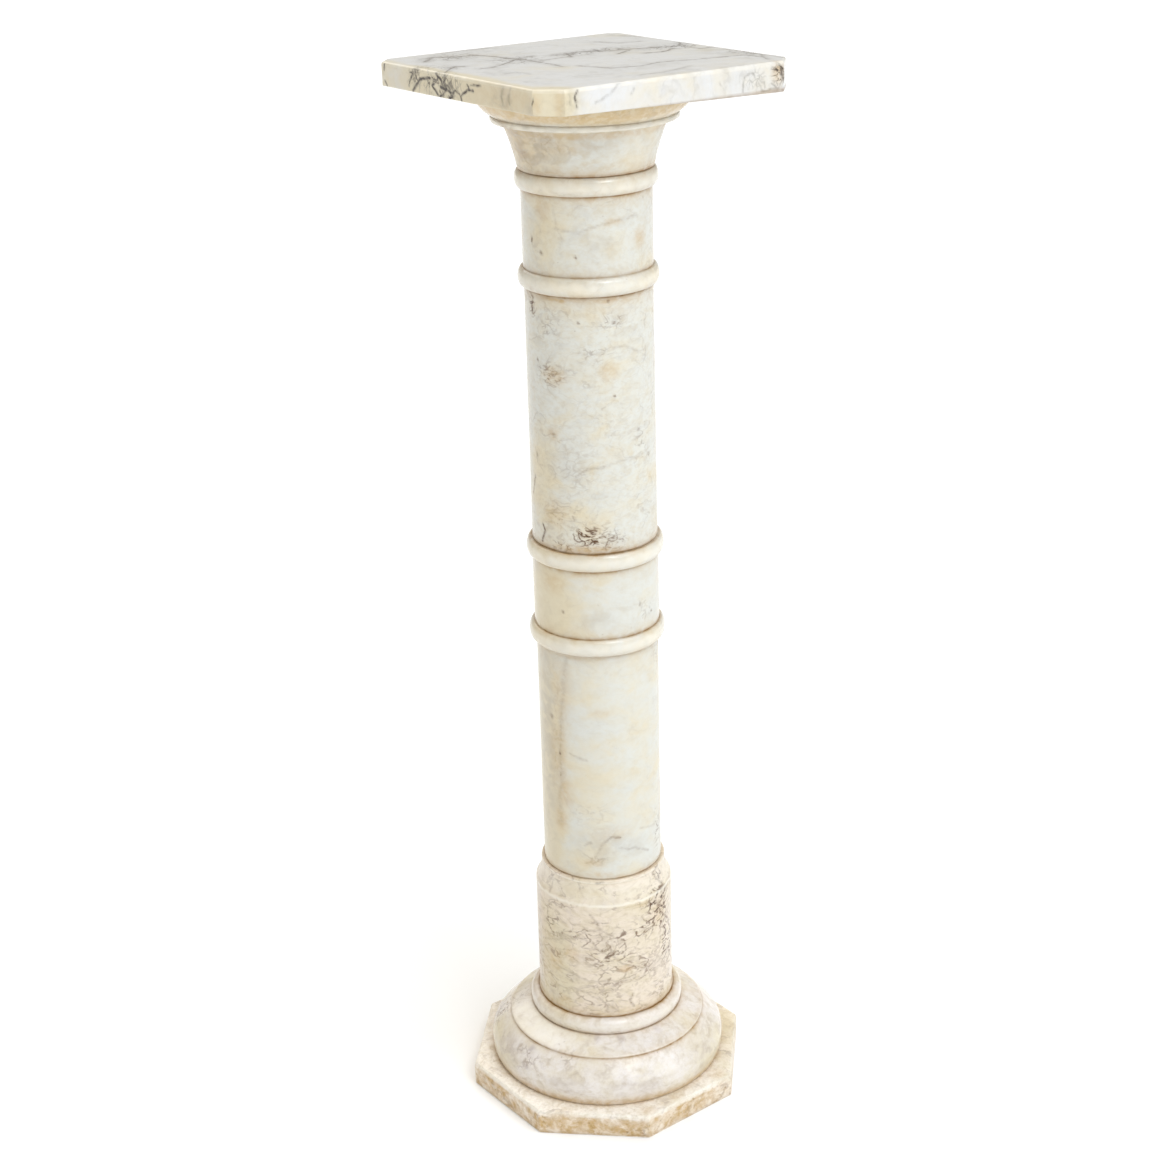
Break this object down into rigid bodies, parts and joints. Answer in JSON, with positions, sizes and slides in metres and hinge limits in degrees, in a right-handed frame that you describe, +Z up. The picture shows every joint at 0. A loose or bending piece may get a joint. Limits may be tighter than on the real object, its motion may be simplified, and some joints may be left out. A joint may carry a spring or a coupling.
{
  "type": "pedestal column",
  "caption": "Turned marble pedestal column with an octagonal plinth, ringed shaft, bell capital and a square top slab for showing a plant, bust or vase",
  "frame": {"origin": "centre of the plinth's underside", "axes": "+Z up along the column's axis, the slab's sides along X and Y"},
  "size_m": [0.2754, 0.2754, 1.05],
  "materials": {
    "plinth_stone": "worn, matt, stained",
    "torus_stone": "polished",
    "drum_stone": "polished, brown veined",
    "lower_shaft_stone": "polished",
    "middle_collar_stone": "polished",
    "upper_shaft_stone": "polished, veined",
    "upper_collar_stone": "polished",
    "capital_stone": "polished",
    "slab_stone": "polished, grey veined"
  },
  "bodies": {
    "root": {"plinth": "plinth_stone", "base_torus": "torus_stone", "base_drum": "drum_stone", "lower_shaft": "lower_shaft_stone", "middle_collar": "middle_collar_stone", "upper_shaft": "upper_shaft_stone", "upper_collar": "upper_collar_stone", "capital": "capital_stone", "top_slab": "slab_stone"}
  },
  "joints": []
}
